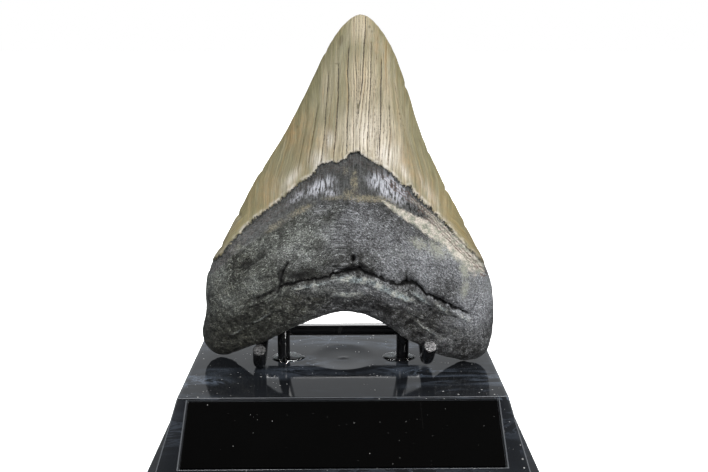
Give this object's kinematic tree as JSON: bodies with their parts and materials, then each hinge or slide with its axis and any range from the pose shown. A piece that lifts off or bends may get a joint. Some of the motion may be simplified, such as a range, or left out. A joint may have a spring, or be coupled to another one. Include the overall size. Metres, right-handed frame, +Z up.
{
  "type": "megalodon tooth on display stand",
  "caption": "Triangular fossil shark tooth with a thick arched root, standing on a gloss sloped-front base with a bare nameplate and a bent wire easel.",
  "frame": {"origin": "middle of the base's flat underside", "axes": "+Z up, nameplate and the tooth's inner face towards -Y, +X to the viewer's right"},
  "size_m": [0.1244, 0.0906, 0.1461],
  "materials": {
    "fossil_tooth": "satin streaked enamel over a dull dark grey root",
    "base_plastic": "polished black moulded plastic with dust and hair scratches",
    "plate_plastic": "black engraving laminate, bare, with fine specks",
    "coated_wire": "gloss black coated steel wire with bare cut ends",
    "clear_glue": "clear hardened glue"
  },
  "bodies": {
    "root": {"tooth": "fossil_tooth", "base": "base_plastic", "nameplate": "plate_plastic", "cradle_wire": "coated_wire", "left_back_wire": "coated_wire", "right_back_wire": "coated_wire", "left_glue_bead": "clear_glue", "right_glue_bead": "clear_glue"}
  },
  "joints": []
}
